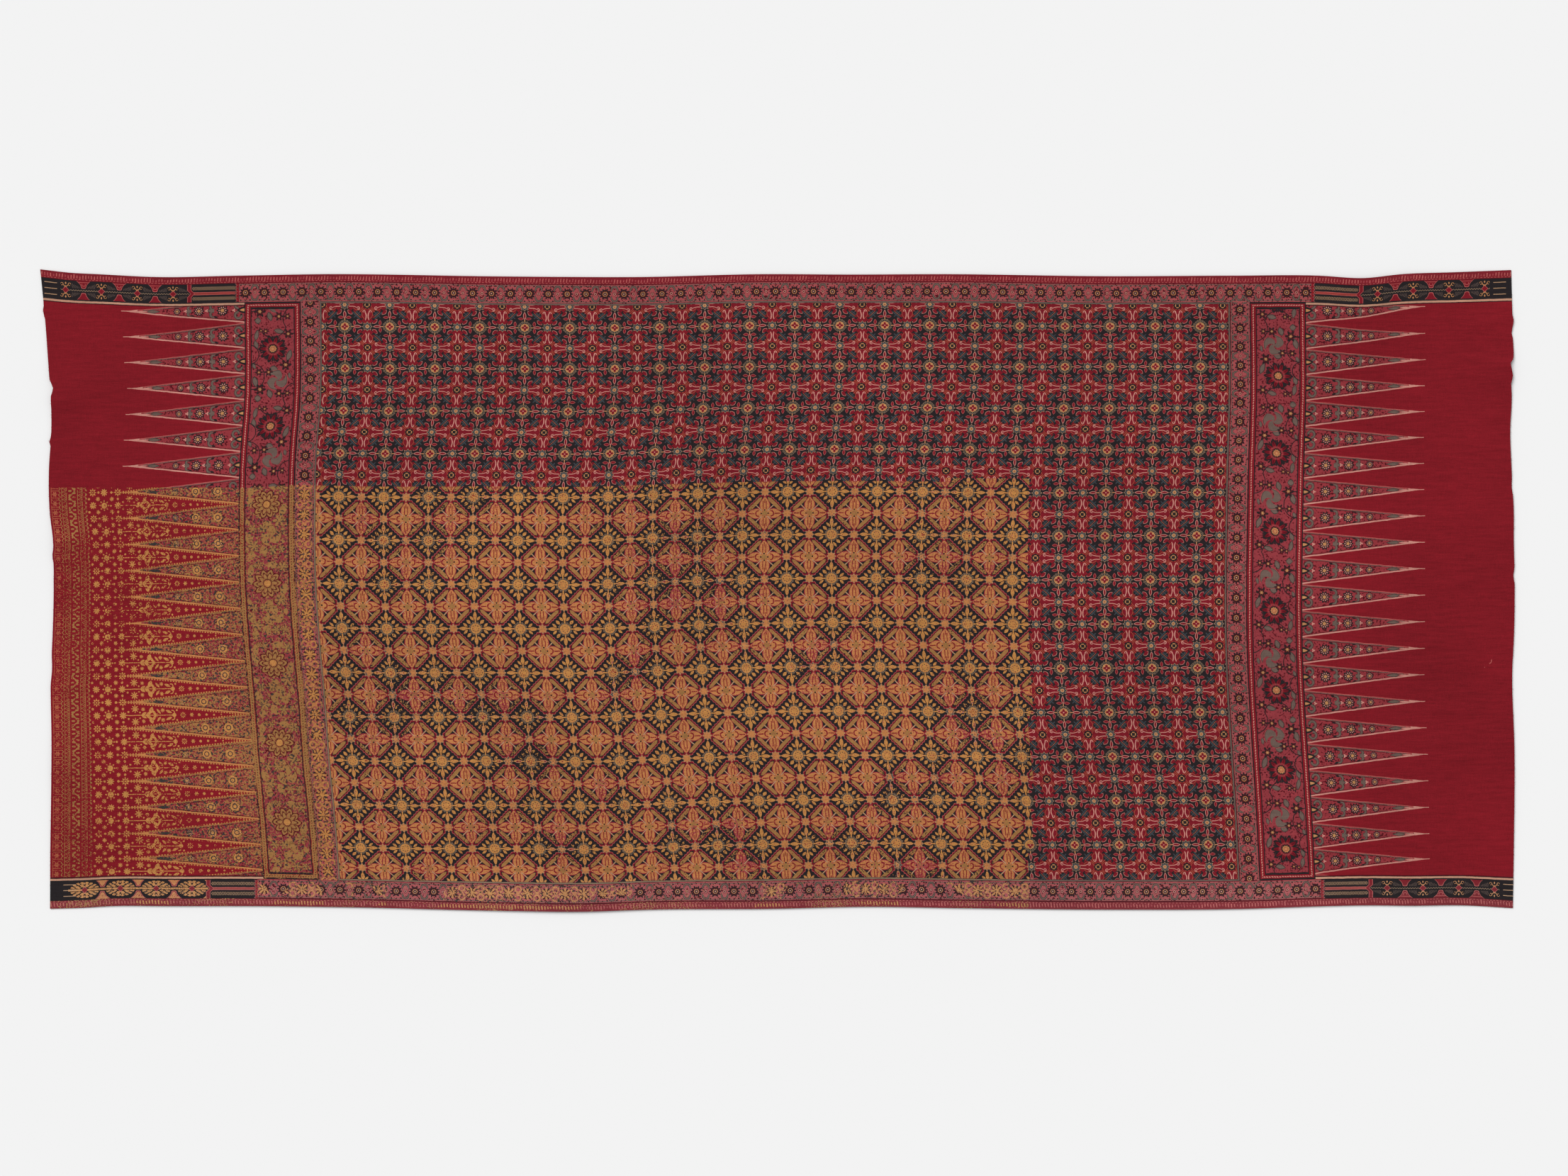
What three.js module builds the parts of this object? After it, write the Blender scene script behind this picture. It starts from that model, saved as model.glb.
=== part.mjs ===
// A kalamkari cloth: one printed and gilded cotton length with two cut ends and two
// selvedges, lying open and face up. Millimetres, +Z up, +X along the cloth's length.
// The origin is on the surface that the cloth lies on, under the middle of the cloth.
import * as THREE from "three";

// Driving dimensions of the cloth.
const LENGTH = 2100;
const WIDTH = 915;
const THICK = 1.2;

// The grid that the sheet is folded from.
const COLUMNS = 40;
const ROWS = 36;

const MADDER_RED = 0x8c2028;

// The two selvedges, at stations along the length: how far each one lies from the middle line.
const SELVEDGES = [
  { at: -1050, top: 457.5, bottom: -453.5 },
  { at: -1005, top: 452.5, bottom: -452.0 },
  { at: -966, top: 450.5, bottom: -449.5 },
  { at: -885, top: 446.5, bottom: -449.5 },
  { at: -764, top: 448.4, bottom: -449.5 },
  { at: -643, top: 450.5, bottom: -451.0 },
  { at: -400, top: 447.4, bottom: -456.5 },
  { at: -300, top: 446.6, bottom: -457.5 },
  { at: -200, top: 446.4, bottom: -454.5 },
  { at: -20, top: 450.5, bottom: -453.3 },
  { at: 104, top: 450.0, bottom: -450.5 },
  { at: 246, top: 450.5, bottom: -452.5 },
  { at: 468, top: 447.6, bottom: -454.5 },
  { at: 650, top: 448.4, bottom: -453.5 },
  { at: 771, top: 448.4, bottom: -449.5 },
  { at: 837, top: 444.9, bottom: -448.4 },
  { at: 892, top: 450.5, bottom: -449.0 },
  { at: 973, top: 453.5, bottom: -448.4 },
  { at: 1050, top: 456.5, bottom: -452.5 },
];

// The two cut ends, at stations across the width: how far each one lies from the middle.
const CUT_ENDS = [
  { at: -457.5, left: -1036, right: 1048 },
  { at: -375, left: -1035.5, right: 1049 },
  { at: -233, left: -1033.5, right: 1050 },
  { at: -112, left: -1034.5, right: 1047 },
  { at: -72, left: -1032.5, right: 1049 },
  { at: 29, left: -1030.5, right: 1050 },
  { at: 70, left: -1031.0, right: 1049 },
  { at: 110, left: -1036.0, right: 1049 },
  { at: 171, left: -1037.5, right: 1046 },
  { at: 231, left: -1034.0, right: 1044 },
  { at: 280, left: -1034.5, right: 1046 },
  { at: 306, left: -1036.5, right: 1045 },
  { at: 332, left: -1038.5, right: 1048.5 },
  { at: 373, left: -1041.5, right: 1047.5 },
  { at: 457.5, left: -1050, right: 1045.5 },
];

// Soft ripples where the cloth stands off the surface. Each is a ridge with a middle, a half
// length along its crest, a half width across it, the crest's turn from +X, and a height.
const RIPPLES = [
  { name: "left pinch", x: -1000, y: 285, along: 90, across: 48, turn: 4, lift: 3.5 },
  { name: "left gilded pinch", x: -1005, y: 62, along: 80, across: 50, turn: -6, lift: 3.0 },
  { name: "left low swell", x: -1010, y: -250, along: 80, across: 70, turn: 8, lift: 2.0 },
  { name: "right top swell", x: 995, y: 385, along: 110, across: 55, turn: 24, lift: 3.0 },
  { name: "right pinch", x: 1010, y: 312, along: 90, across: 46, turn: -8, lift: 4.0 },
  { name: "right crease", x: 930, y: -92, along: 110, across: 45, turn: 5, lift: 3.2 },
  { name: "right low swell", x: 940, y: -220, along: 120, across: 60, turn: -7, lift: 2.2 },
  { name: "top selvedge swell", x: 850, y: 430, along: 120, across: 50, turn: 3, lift: 2.6 },
  { name: "bottom selvedge swell", x: -300, y: -440, along: 170, across: 50, turn: 0, lift: 1.8 },
];

// Between its corners, which lie flat, the cloth's edge curls up a little.
const CURL = { lift: 1.2, reach: 60 };
const FLAT_CORNER = 130;

// A smooth line through one column of a table of stations.
function lineThrough(table, column) {
  const places = table.map((row) => row.at);
  const values = table.map((row) => row[column]);
  const line = new THREE.CubicInterpolant(places, values, 1, new Float32Array(1));
  return (at) => line.evaluate(at)[0];
}

const topEdge = lineThrough(SELVEDGES, "top");
const bottomEdge = lineThrough(SELVEDGES, "bottom");
const leftEnd = lineThrough(CUT_ENDS, "left");
const rightEnd = lineThrough(CUT_ENDS, "right");

// A swell that is 1 at the middle, 0 from the given reach on, and smooth between.
function swell(distance, reach) {
  const share = Math.min(1, Math.abs(distance) / reach);
  return Math.cos((share * Math.PI) / 2) ** 2;
}

// How far the ripples lift the cloth at a place.
function rippleAt(x, y) {
  let lift = 0;
  for (const ripple of RIPPLES) {
    const turn = THREE.MathUtils.degToRad(ripple.turn);
    const dx = x - ripple.x;
    const dy = y - ripple.y;
    const along = dx * Math.cos(turn) + dy * Math.sin(turn);
    const across = dy * Math.cos(turn) - dx * Math.sin(turn);
    lift += ripple.lift * swell(along, ripple.along) * swell(across, ripple.across);
  }
  return lift;
}

// How far the cloth stands off the surface, at a place and at its distances from the nearest
// cut end and the nearest selvedge.
function liftAt(x, y, fromEnd, fromSelvedge) {
  const curl = CURL.lift * swell(Math.min(fromEnd, fromSelvedge), CURL.reach);
  const corner = swell(Math.hypot(fromEnd, fromSelvedge), FLAT_CORNER);
  return (curl + rippleAt(x, y)) * (1 - corner);
}

// The sheet starts as a plain slab. Each of its points is then drawn out to the edges'
// true lines and lifted with the ripples, the face and the back alike.
function clothGeometry() {
  const geometry = new THREE.BoxGeometry(LENGTH, WIDTH, THICK, COLUMNS, ROWS, 1);
  const points = geometry.getAttribute("position");
  for (let i = 0; i < points.count; i++) {
    const alongX = points.getX(i);
    const alongY = points.getY(i);
    const face = points.getZ(i) > 0 ? THICK : 0;
    const x = THREE.MathUtils.lerp(leftEnd(alongY), rightEnd(alongY), alongX / LENGTH + 0.5);
    const y = THREE.MathUtils.lerp(bottomEdge(alongX), topEdge(alongX), alongY / WIDTH + 0.5);
    const lift = liftAt(x, y, LENGTH / 2 - Math.abs(alongX), WIDTH / 2 - Math.abs(alongY));
    points.setXYZ(i, x, y, face + lift);
  }
  geometry.computeVertexNormals();
  return geometry;
}

const cotton = new THREE.MeshStandardMaterial({
  color: MADDER_RED,
  roughness: 0.88,
  metalness: 0,
});

const cloth = new THREE.Mesh(clothGeometry(), cotton);
cloth.name = "cloth";

const kalamkari = new THREE.Group();
kalamkari.add(cloth);

export default kalamkari;
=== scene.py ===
import math
from collections import namedtuple
from functools import partialmethod

import bpy
import numpy as np
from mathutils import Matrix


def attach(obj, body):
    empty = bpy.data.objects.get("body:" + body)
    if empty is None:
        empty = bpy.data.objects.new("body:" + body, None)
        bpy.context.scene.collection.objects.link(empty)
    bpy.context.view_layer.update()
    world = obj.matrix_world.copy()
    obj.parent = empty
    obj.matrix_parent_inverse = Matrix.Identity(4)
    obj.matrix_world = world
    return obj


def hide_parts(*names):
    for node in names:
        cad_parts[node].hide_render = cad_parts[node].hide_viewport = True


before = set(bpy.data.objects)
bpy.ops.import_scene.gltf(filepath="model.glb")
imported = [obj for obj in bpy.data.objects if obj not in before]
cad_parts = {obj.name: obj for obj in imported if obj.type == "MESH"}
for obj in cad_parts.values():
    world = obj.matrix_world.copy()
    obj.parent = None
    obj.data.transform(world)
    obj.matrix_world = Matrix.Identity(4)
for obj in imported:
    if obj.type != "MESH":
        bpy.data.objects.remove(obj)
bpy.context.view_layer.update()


def table(columns, *rows):
    """Rows under named columns. A row may leave out its last columns, which are then 0."""
    names = columns.split()
    kind = namedtuple("Row", names, defaults=[0] * len(names))
    return [kind(*row) for row in rows]


# Sizes are in millimetres, in the cloth's own frame: +X along its length, +Y across it.
MM = 0.001
LENGTH = 2100
WIDTH = 915
THICK = 0.7

# Steps of the cloth's grid along its length and across it.
ALONG_STEP = 8.4
ACROSS_STEP = 6.0

# The two selvedges at stations along the length, as in the part's source.
SELVEDGES = table(
    "at top bottom",
    (-1050, 457.5, -453.5),
    (-1005, 452.5, -452.0),
    (-966, 450.5, -449.5),
    (-885, 446.5, -449.5),
    (-764, 448.4, -449.5),
    (-643, 450.5, -451.0),
    (-400, 447.4, -456.5),
    (-300, 446.6, -457.5),
    (-200, 446.4, -454.5),
    (-20, 450.5, -453.3),
    (104, 450.0, -450.5),
    (246, 450.5, -452.5),
    (468, 447.6, -454.5),
    (650, 448.4, -453.5),
    (771, 448.4, -449.5),
    (837, 444.9, -448.4),
    (892, 450.5, -449.0),
    (973, 453.5, -448.4),
    (1050, 456.5, -452.5),
)

# The two cut ends at stations across the width, as in the part's source.
CUT_ENDS = table(
    "at left right",
    (-457.5, -1036, 1048),
    (-375, -1035.5, 1049),
    (-233, -1033.5, 1050),
    (-112, -1034.5, 1047),
    (-72, -1032.5, 1049),
    (29, -1030.5, 1050),
    (70, -1031.0, 1049),
    (110, -1036.0, 1049),
    (171, -1037.5, 1046),
    (231, -1034.0, 1044),
    (280, -1034.5, 1046),
    (306, -1036.5, 1045),
    (332, -1038.5, 1048.5),
    (373, -1041.5, 1047.5),
    (457.5, -1050, 1045.5),
)

# Soft ripples, as in the part's source: a middle, half sizes, a turn from +X, and a height.
RIPPLES = table(
    "name x y along across turn lift",
    ("left pinch", -1000, 285, 90, 48, 4, 3.5),
    ("left gilded pinch", -1005, 62, 80, 50, -6, 3.0),
    ("left low swell", -1010, -250, 80, 70, 8, 2.0),
    ("right top swell", 995, 385, 110, 55, 24, 3.0),
    ("right pinch", 1010, 312, 90, 46, -8, 4.0),
    ("right crease", 930, -92, 110, 45, 5, 3.2),
    ("right low swell", 940, -220, 120, 60, -7, 2.2),
    ("top selvedge swell", 850, 430, 120, 50, 3, 2.6),
    ("bottom selvedge swell", -300, -440, 170, 50, 0, 1.8),
)
CURL = dict(lift=1.2, reach=60)
FLAT_CORNER = 130

# Sharp creases, too fine for the part's source, in the same columns.
CREASES = table(
    "name x y along across turn lift",
    ("right valley", 932, -91, 62, 13, 3, -2.6),
    ("right end upper", 1018, 250, 36, 10, 0, 2.4),
    ("right end pinch", 1038, 323, 32, 11, -6, 2.6),
    ("right corner", 1022, 383, 40, 11, 12, 2.6),
    ("right long slant", 975, 69, 72, 10, -73, 2.0),
    ("right short slant", 923, 57, 26, 9, -76, 2.0),
    ("right middle line", 963, 11, 70, 10, 2, 1.9),
    ("right low line", 955, -172, 75, 10, -2, 2.2),
    ("right lower line", 950, -217, 64, 10, 3, 2.0),
    ("right lowest line", 968, -238, 70, 10, -3, 2.0),
    ("right low slant", 946, -222, 62, 10, -70, 1.6),
    ("left end pinch", -1022, 268, 30, 10, 0, 2.4),
    ("left gilded line", -1016, 69, 36, 10, 4, 2.2),
    ("left gilded fold", -1008, 12, 42, 11, -5, 2.0),
    ("left low line", -1012, -140, 40, 10, 3, 1.9),
)

# Small nicks and tags of the cut ends: a row, a half width, and how far in the edge is drawn.
NICKS = table(
    "end at reach depth",
    ("left", 293, 14, 4.2),
    ("left", 216, 8, -2.2),
    ("left", 400, 10, -2.0),
    ("left", 50, 14, -1.8),
    ("left", -113, 26, 1.6),
    ("right", 328, 10, 4.4),
    ("right", 309, 9, -2.4),
    ("right", 388, 9, -1.8),
    ("right", 372, 9, 1.6),
    ("right", 20, 12, 1.8),
    ("right", 148, 16, 1.2),
)

# Straight lines of the print. Columns lie along the length, rows across it.
LEFT_FRAME = -755
LEFT_FIELD = -648
RIGHT_FIELD = 645
RIGHT_FRAME = 753
FRAME_WIDTH = 80
BAND_OVERHANG = 8
END_DEPTH = LENGTH / 2 + LEFT_FRAME
STRIP = 11.2
TOP_BAND = 419.0
BOTTOM_BAND = -417.5
STRIPE = 5.2

# How far the print leans from its straight columns, at rows across the width.
LEAN = table(
    "at left right",
    (420, -4, 0),
    (276, -4.5, 0.6),
    (185, -11, -2),
    (94, -12.6, -3.8),
    (3, -11, -5),
    (-78, -5.5, -4.5),
    (-159, 2, -1.2),
    (-239, 7.6, 3.8),
    (-320, 15.7, 9),
    (-420, 23, 14),
)

# How far the field's rows drift up from an even pitch, and what share of it the ends take.
DRIFT = table(
    "at lift",
    (-457.5, 0),
    (-366, 0),
    (-179, 4),
    (-54, 6.8),
    (71, 9.5),
    (196, 8),
    (320, 2.6),
    (383, 0),
    (457.5, 0),
)
LEFT_DRIFT = 0.22
RIGHT_DRIFT = 0.35

# How far the print's upper and lower rows bow up, at columns along the length.
BOW = table(
    "at upper lower",
    (-755, 0, 0),
    (-648, 0, -4.5),
    (-562, 0, -6.5),
    (-415, -0.5, -6.2),
    (-269, -1, -7),
    (-123, 1, -2),
    (24, 2.6, 1.7),
    (170, 3, 2),
    (317, 2, 0),
    (610, 2, 0.6),
    (753, 0, 0),
)
UPPER_ROW = 340
LOWER_ROW = 115

# How far the field's columns sway to the left, and the share of it at rows across the width.
SWAY = table(
    "at left",
    (-648, 0),
    (-562, 0.4),
    (-415, 2),
    (-123, 3.7),
    (24, 5.2),
    (317, 5.6),
    (463, 2.6),
    (645, 0),
)
SWAY_SHARE = table(
    "at share",
    (-457.5, -0.1),
    (-330, 0),
    (-219, 0.7),
    (-108, 0.95),
    (3, 1.05),
    (116, 0.95),
    (228, 0.6),
    (340, 0.15),
    (457.5, 0),
)

# The field's lattice: its first and last rosettes, and the pitch of its columns and rows.
FIELD_COLUMNS = 20
FIRST_COLUMN = LEFT_FIELD + 35.6
LAST_COLUMN = RIGHT_FIELD - 42.6
COLUMN_PITCH = (LAST_COLUMN - FIRST_COLUMN) / (FIELD_COLUMNS - 1)
FIRST_ROW = 382.7
ROW_PITCH = 62.35

# The rows that the selvedges are drawn on, and how far in their waves reach.
TOP_ROW = 449.5
BOTTOM_ROW = -453.0
WAVE_REACH = 130

# The teeth of both ends: the first one's row, their pitch, length, and rise along their length.
LEFT_TEETH = dict(first=407.7, pitch=37.78, length=179.0, rise=-0.010)
RIGHT_TEETH = dict(first=406.8, pitch=38.0, length=170.0, rise=0.020)
TOOTH_PITCH = 38.0
TOOTH_LENGTH = 179.0

# The gilded quarter: its right edge, and how far up it reaches, with a step near that edge.
GILT_EDGE = 360.6
GILT_ROW = 148.3
GILT_STEP = dict(at=250, rise=6.0)

# The borders' rosettes: their pitch and a first one, along the cloth and across it.
BORDER_PITCH = 26.9
FIRST_BORDER = LEFT_FRAME + 1.4
UPRIGHT_PITCH = 28.35
LEFT_UPRIGHT = 474.6
RIGHT_UPRIGHT = 464.8

# Dyes and golds, as display colours from 0 to 255, and the light that they are seen in.
DYES = dict(
    madder=(124, 22, 32),
    field_red=(118, 23, 34),
    strip_red=(120, 30, 39),
    dark_red=(78, 16, 24),
    rose=(146, 60, 65),
    pink=(172, 86, 86),
    hatch=(120, 38, 46),
    pale=(188, 128, 116),
    flesh=(168, 84, 80),
    coral=(142, 52, 47),
    ochre=(180, 126, 82),
    tan=(182, 136, 112),
    straw=(168, 132, 100),
    khaki=(126, 104, 84),
    ink=(54, 50, 48),
    black=(36, 31, 33),
    slate=(57, 63, 68),
    grey=(102, 84, 76),
    gold=(182, 127, 68),
    dark_gold=(150, 110, 62),
    pink_gold=(182, 120, 70),
    rust=(158, 84, 58),
)
LIGHT = 1.04

# The lower border and selvedge are more faded: a row and a reach in metres, and two changes.
LOW_FADE = dict(row=-0.405, reach=0.02, value=0.06, saturation=-0.08)


def dye(name):
    """A dye as the linear colour that the light shows as the table says."""
    shares = [value / 255 for value in DYES[name]]
    linear = [c / 12.92 if c <= 0.04045 else ((c + 0.055) / 1.055) ** 2.4 for c in shares]
    return [c / LIGHT for c in linear] + [1.0]


def line_through(rows, column, at):
    """Values of one column of a table, on a smooth line through its stations."""
    order = sorted(rows, key=lambda row: row.at)
    places = np.array([row.at for row in order], float)
    values = np.array([getattr(row, column) for row in order], float)
    slopes = np.gradient(values, places)
    at = np.clip(at, places[0], places[-1])
    i = np.clip(np.searchsorted(places, at) - 1, 0, len(places) - 2)
    step = places[i + 1] - places[i]
    share = (at - places[i]) / step
    rise = share * share * (3 - 2 * share)
    leave = share * (1 - share) ** 2 * step * slopes[i]
    arrive = share * share * (share - 1) * step * slopes[i + 1]
    return values[i] * (1 - rise) + values[i + 1] * rise + leave + arrive


def swell(distance, reach):
    """1 at the middle, 0 from the given reach on, and smooth between."""
    share = np.minimum(1, np.abs(distance) / reach)
    return np.cos(share * math.pi / 2) ** 2


def ridges_at(x, y, ridges):
    """How far the ripples or creases of a table lift the cloth."""
    lift = np.zeros_like(x)
    for row in ridges:
        turn = math.radians(row.turn)
        dx = x - row.x
        dy = y - row.y
        along = dx * math.cos(turn) + dy * math.sin(turn)
        across = dy * math.cos(turn) - dx * math.sin(turn)
        lift += row.lift * swell(along, row.along) * swell(across, row.across)
    return lift


def cut_end(end, t):
    """Where one cut end lies, at rows across the cloth, with its nicks."""
    inward = 1 if end == "left" else -1
    x = line_through(CUT_ENDS, end, t)
    for row in NICKS:
        if row.end == end:
            x = x + inward * row.depth * swell(t - row.at, row.reach)
    return x


def place(s, t):
    """Where places of the print, at column s and row t, lie on the cloth, and how high."""
    left_lean = line_through(LEAN, "left", t)
    right_lean = line_through(LEAN, "right", t)
    columns = [
        (-LENGTH / 2, cut_end("left", t)),
        (LEFT_FRAME, LEFT_FRAME + left_lean),
        (LEFT_FIELD, LEFT_FIELD + left_lean),
        (RIGHT_FIELD, RIGHT_FIELD + right_lean),
        (RIGHT_FRAME, RIGHT_FRAME + right_lean),
        (LENGTH / 2, cut_end("right", t)),
    ]
    x = np.zeros_like(s)
    for (start, start_x), (end, end_x) in zip(columns, columns[1:]):
        between = start_x + (s - start) / (end - start) * (end_x - start_x)
        x = np.where((s >= start) & (s <= end), between, x)
    x -= line_through(SWAY, "left", s) * line_through(SWAY_SHARE, "share", t)
    near_top = swell(WIDTH / 2 - t, WAVE_REACH)
    near_bottom = swell(WIDTH / 2 + t, WAVE_REACH)
    y = BOTTOM_ROW + (t / WIDTH + 0.5) * (TOP_ROW - BOTTOM_ROW)
    y += (line_through(SELVEDGES, "top", s) - TOP_ROW) * near_top
    y += (line_through(SELVEDGES, "bottom", s) - BOTTOM_ROW) * near_bottom
    upper = np.clip((t - LOWER_ROW) / (UPPER_ROW - LOWER_ROW), 0, 1)
    bow = line_through(BOW, "upper", s) * upper + line_through(BOW, "lower", s) * (1 - upper)
    y += bow * (1 - near_top) * (1 - near_bottom)
    least = np.where(s < 0, LEFT_DRIFT, RIGHT_DRIFT)
    inside = np.minimum(s - LEFT_FRAME, RIGHT_FRAME - s) / FRAME_WIDTH
    y += line_through(DRIFT, "lift", t) * np.clip(inside, least, 1)
    from_end = LENGTH / 2 - np.abs(s)
    from_selvedge = WIDTH / 2 - np.abs(t)
    curl = CURL["lift"] * swell(np.minimum(from_end, from_selvedge), CURL["reach"])
    corner = swell(np.hypot(from_end, from_selvedge), FLAT_CORNER)
    lift = (curl + ridges_at(x, y, RIPPLES)) * (1 - corner)
    return x, y, lift + ridges_at(x, y, CREASES)


def stations(lines, pace):
    """Grid stations that take in the given lines, with steps of about the given pace."""
    lines = sorted(lines)
    found = [lines[0]]
    for start, end in zip(lines, lines[1:]):
        count = max(1, round((end - start) / pace))
        found += [start + (end - start) * (i + 1) / count for i in range(count)]
    return np.array(found)


COLUMN_LINES = [
    -LENGTH / 2,
    LEFT_FRAME - BAND_OVERHANG,
    LEFT_FRAME,
    LEFT_FRAME + FRAME_WIDTH,
    LEFT_FIELD,
    RIGHT_FIELD,
    RIGHT_FRAME - FRAME_WIDTH,
    RIGHT_FRAME,
    RIGHT_FRAME + BAND_OVERHANG,
    LENGTH / 2,
]
ROW_LINES = [
    -WIDTH / 2,
    -WIDTH / 2 + STRIP,
    BOTTOM_BAND,
    BOTTOM_BAND + STRIPE,
    GILT_ROW,
    GILT_ROW + GILT_STEP["rise"],
    TOP_BAND - STRIPE,
    TOP_BAND,
    WIDTH / 2 - STRIP,
    WIDTH / 2,
]


def regions_of(s, t, x):
    """The region that each place of the print is in, and whether gold covers it."""
    strip = np.abs(t) > WIDTH / 2 - STRIP
    outside = (s < LEFT_FRAME - BAND_OVERHANG) | (s > RIGHT_FRAME + BAND_OVERHANG)
    band = (t > TOP_BAND) | (t < BOTTOM_BAND)
    stripe = (t > TOP_BAND - STRIPE) | (t < BOTTOM_BAND + STRIPE)
    ends = (s < LEFT_FRAME) | (s > RIGHT_FRAME)
    frames = (s < LEFT_FRAME + FRAME_WIDTH) | (s > RIGHT_FRAME - FRAME_WIDTH)
    borders = (s < LEFT_FIELD) | (s > RIGHT_FIELD)
    names = np.select(
        [strip, band & outside, stripe & ends & ~band, band, ends, frames, borders],
        ["selvedge", "cartouche", "cartouche", "floral", "teeth", "panel", "floral"],
        "field",
    )
    gilt_top = GILT_ROW + np.where(s > GILT_STEP["at"], GILT_STEP["rise"], 0)
    return names, (t < gilt_top) & (x < GILT_EDGE)


def drawing_places(s, t, x, near_s, near_t, names):
    """Each region's own drawing coordinates. A corner's sides are judged by its face's middle."""
    right = near_s > 0
    top = near_t > 0
    outward = np.where(right, s - RIGHT_FRAME, LEFT_FRAME - s)
    left_x = LEFT_FRAME + line_through(LEAN, "left", t)
    right_x = RIGHT_FRAME + line_through(LEAN, "right", t)
    unstretched = np.where(right, x - right_x, left_x - x)
    teeth = {key: np.where(right, RIGHT_TEETH[key], LEFT_TEETH[key]) for key in LEFT_TEETH}
    top_middle = (TOP_BAND + WIDTH / 2 - STRIP) / 2
    bottom_middle = (BOTTOM_BAND - WIDTH / 2 + STRIP) / 2
    inward = np.where(top, top_middle - t, t - bottom_middle)
    left_border = (LEFT_FIELD + LEFT_FRAME + FRAME_WIDTH) / 2
    right_border = (RIGHT_FIELD + RIGHT_FRAME - FRAME_WIDTH) / 2
    upright = (near_t < TOP_BAND) & (near_t > BOTTOM_BAND)
    down = (t - np.where(right, RIGHT_UPRIGHT, LEFT_UPRIGHT)) * BORDER_PITCH / UPRIGHT_PITCH
    drawn = dict(
        selvedge=(s, WIDTH / 2 - np.abs(t)),
        cartouche=(unstretched - BAND_OVERHANG, inward),
        floral=(
            np.where(upright, down, s - FIRST_BORDER),
            np.where(upright, s - np.where(right, right_border, left_border), inward),
        ),
        teeth=(
            outward * TOOTH_LENGTH / teeth["length"],
            (teeth["first"] + teeth["rise"] * outward - t) / teeth["pitch"],
        ),
        panel=(
            outward + FRAME_WIDTH / 2,
            np.where(right, TOP_BAND - t, t - BOTTOM_BAND),
        ),
        field=((s - FIRST_COLUMN) / COLUMN_PITCH, (FIRST_ROW - t) / ROW_PITCH),
    )
    u = np.zeros_like(s)
    v = np.zeros_like(s)
    for name, (local_u, local_v) in drawn.items():
        u = np.where(names == name, local_u, u)
        v = np.where(names == name, local_v, v)
    return u, v


def feed(tree, slot, value):
    """Sets a node's input to a constant, or wires it to another node."""
    value = getattr(value, "socket", value)
    if isinstance(value, bpy.types.NodeSocket):
        tree.links.new(value, slot)
    else:
        slot.default_value = value


class Wire:
    """A number at each point of the cloth. Arithmetic on it adds math nodes to its tree."""

    def __init__(self, tree, socket):
        self.tree = tree
        self.socket = socket

    def apply(self, operation, *others):
        """What a math node makes of this number and others."""
        node = self.tree.nodes.new("ShaderNodeMath")
        node.operation = operation
        for slot, value in zip(node.inputs, (self, *others)):
            feed(self.tree, slot, value)
        return Wire(self.tree, node.outputs[0])

    def __rsub__(self, other):
        return self.times_plus(-1.0, other)

    def __invert__(self):
        return 1.0 - self

    def wrap(self, low, high):
        return self.apply("WRAP", high, low)

    __add__ = partialmethod(apply, "ADD")
    __sub__ = partialmethod(apply, "SUBTRACT")
    __mul__ = partialmethod(apply, "MULTIPLY")
    __lt__ = partialmethod(apply, "LESS_THAN")
    __gt__ = partialmethod(apply, "GREATER_THAN")
    __and__ = partialmethod(apply, "MULTIPLY")
    __or__ = partialmethod(apply, "MAXIMUM")
    at_least = partialmethod(apply, "MAXIMUM")
    at_most = partialmethod(apply, "MINIMUM")
    times_plus = partialmethod(apply, "MULTIPLY_ADD")
    near = partialmethod(apply, "COMPARE")
    fold = partialmethod(apply, "PINGPONG")
    size = partialmethod(apply, "ABSOLUTE")
    sine = partialmethod(apply, "SINE")
    cosine = partialmethod(apply, "COSINE")


def turned(x, y, at, size, turn=0.0):
    """Places seen from a motif's middle, along and across it, in its own half sizes."""
    (at_x, at_y), (long, wide) = at, size
    if turn == 0:
        return x.times_plus(1 / long, -at_x / long), y.times_plus(1 / wide, -at_y / wide)
    c = math.cos(math.radians(turn))
    d = math.sin(math.radians(turn))
    along = x.times_plus(c / long, y.times_plus(d / long, -(at_x * c + at_y * d) / long))
    across = y.times_plus(c / wide, x.times_plus(-d / wide, (at_x * d - at_y * c) / wide))
    return along, across


def oval(x, y, at, size, turn=0.0):
    """Under 1 inside an oval."""
    along, across = turned(x, y, at, size, turn)
    return along.times_plus(along, across * across)


def leaf(x, y, at, size, turn=0.0):
    """Under 1 inside a leaf that is pointed at both ends."""
    along, across = turned(x, y, at, size, turn)
    return along.times_plus(along, across.size())


def polar(x, y, at=(0, 0)):
    """The distance from a middle and the angle around it."""
    if at[0] != 0:
        x = x - at[0]
    if at[1] != 0:
        y = y - at[1]
    return x.times_plus(x, y * y).apply("SQRT"), y.apply("ARCTAN2", x)


def distance(x, y, at):
    """The distance from a middle."""
    return polar(x, y, at)[0]


def rings(*rows):
    """Rings of petals, the outermost first. A ring without petals is round."""
    return table("reach dye petals swing", *rows)


def scalloped(angle, petals, swing, reach):
    """A reach that swings out and in again once for each petal."""
    return (angle * petals).cosine().times_plus(swing, reach)


# What lightens and darkens the dyes all over the cloth, and by how much.
TONES = table(
    "name scale stretch detail seed share",
    ("weft", 1.0, (70, 1400, 1), 2.0, 1.3, 0.5),
    ("warp", 1.0, (1400, 70, 1), 2.0, 5.9, 0.4),
    ("grain", 800, (1, 1, 1), 2.0, 1.9, 0.5),
    ("streak", 1.0, (24, 240, 1), 4.0, 2.7, 0.54),
    ("fade", 4.0, (1, 1, 1), 3.0, 2.2, 0.5),
)
TONE_BASE = -0.22


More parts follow.
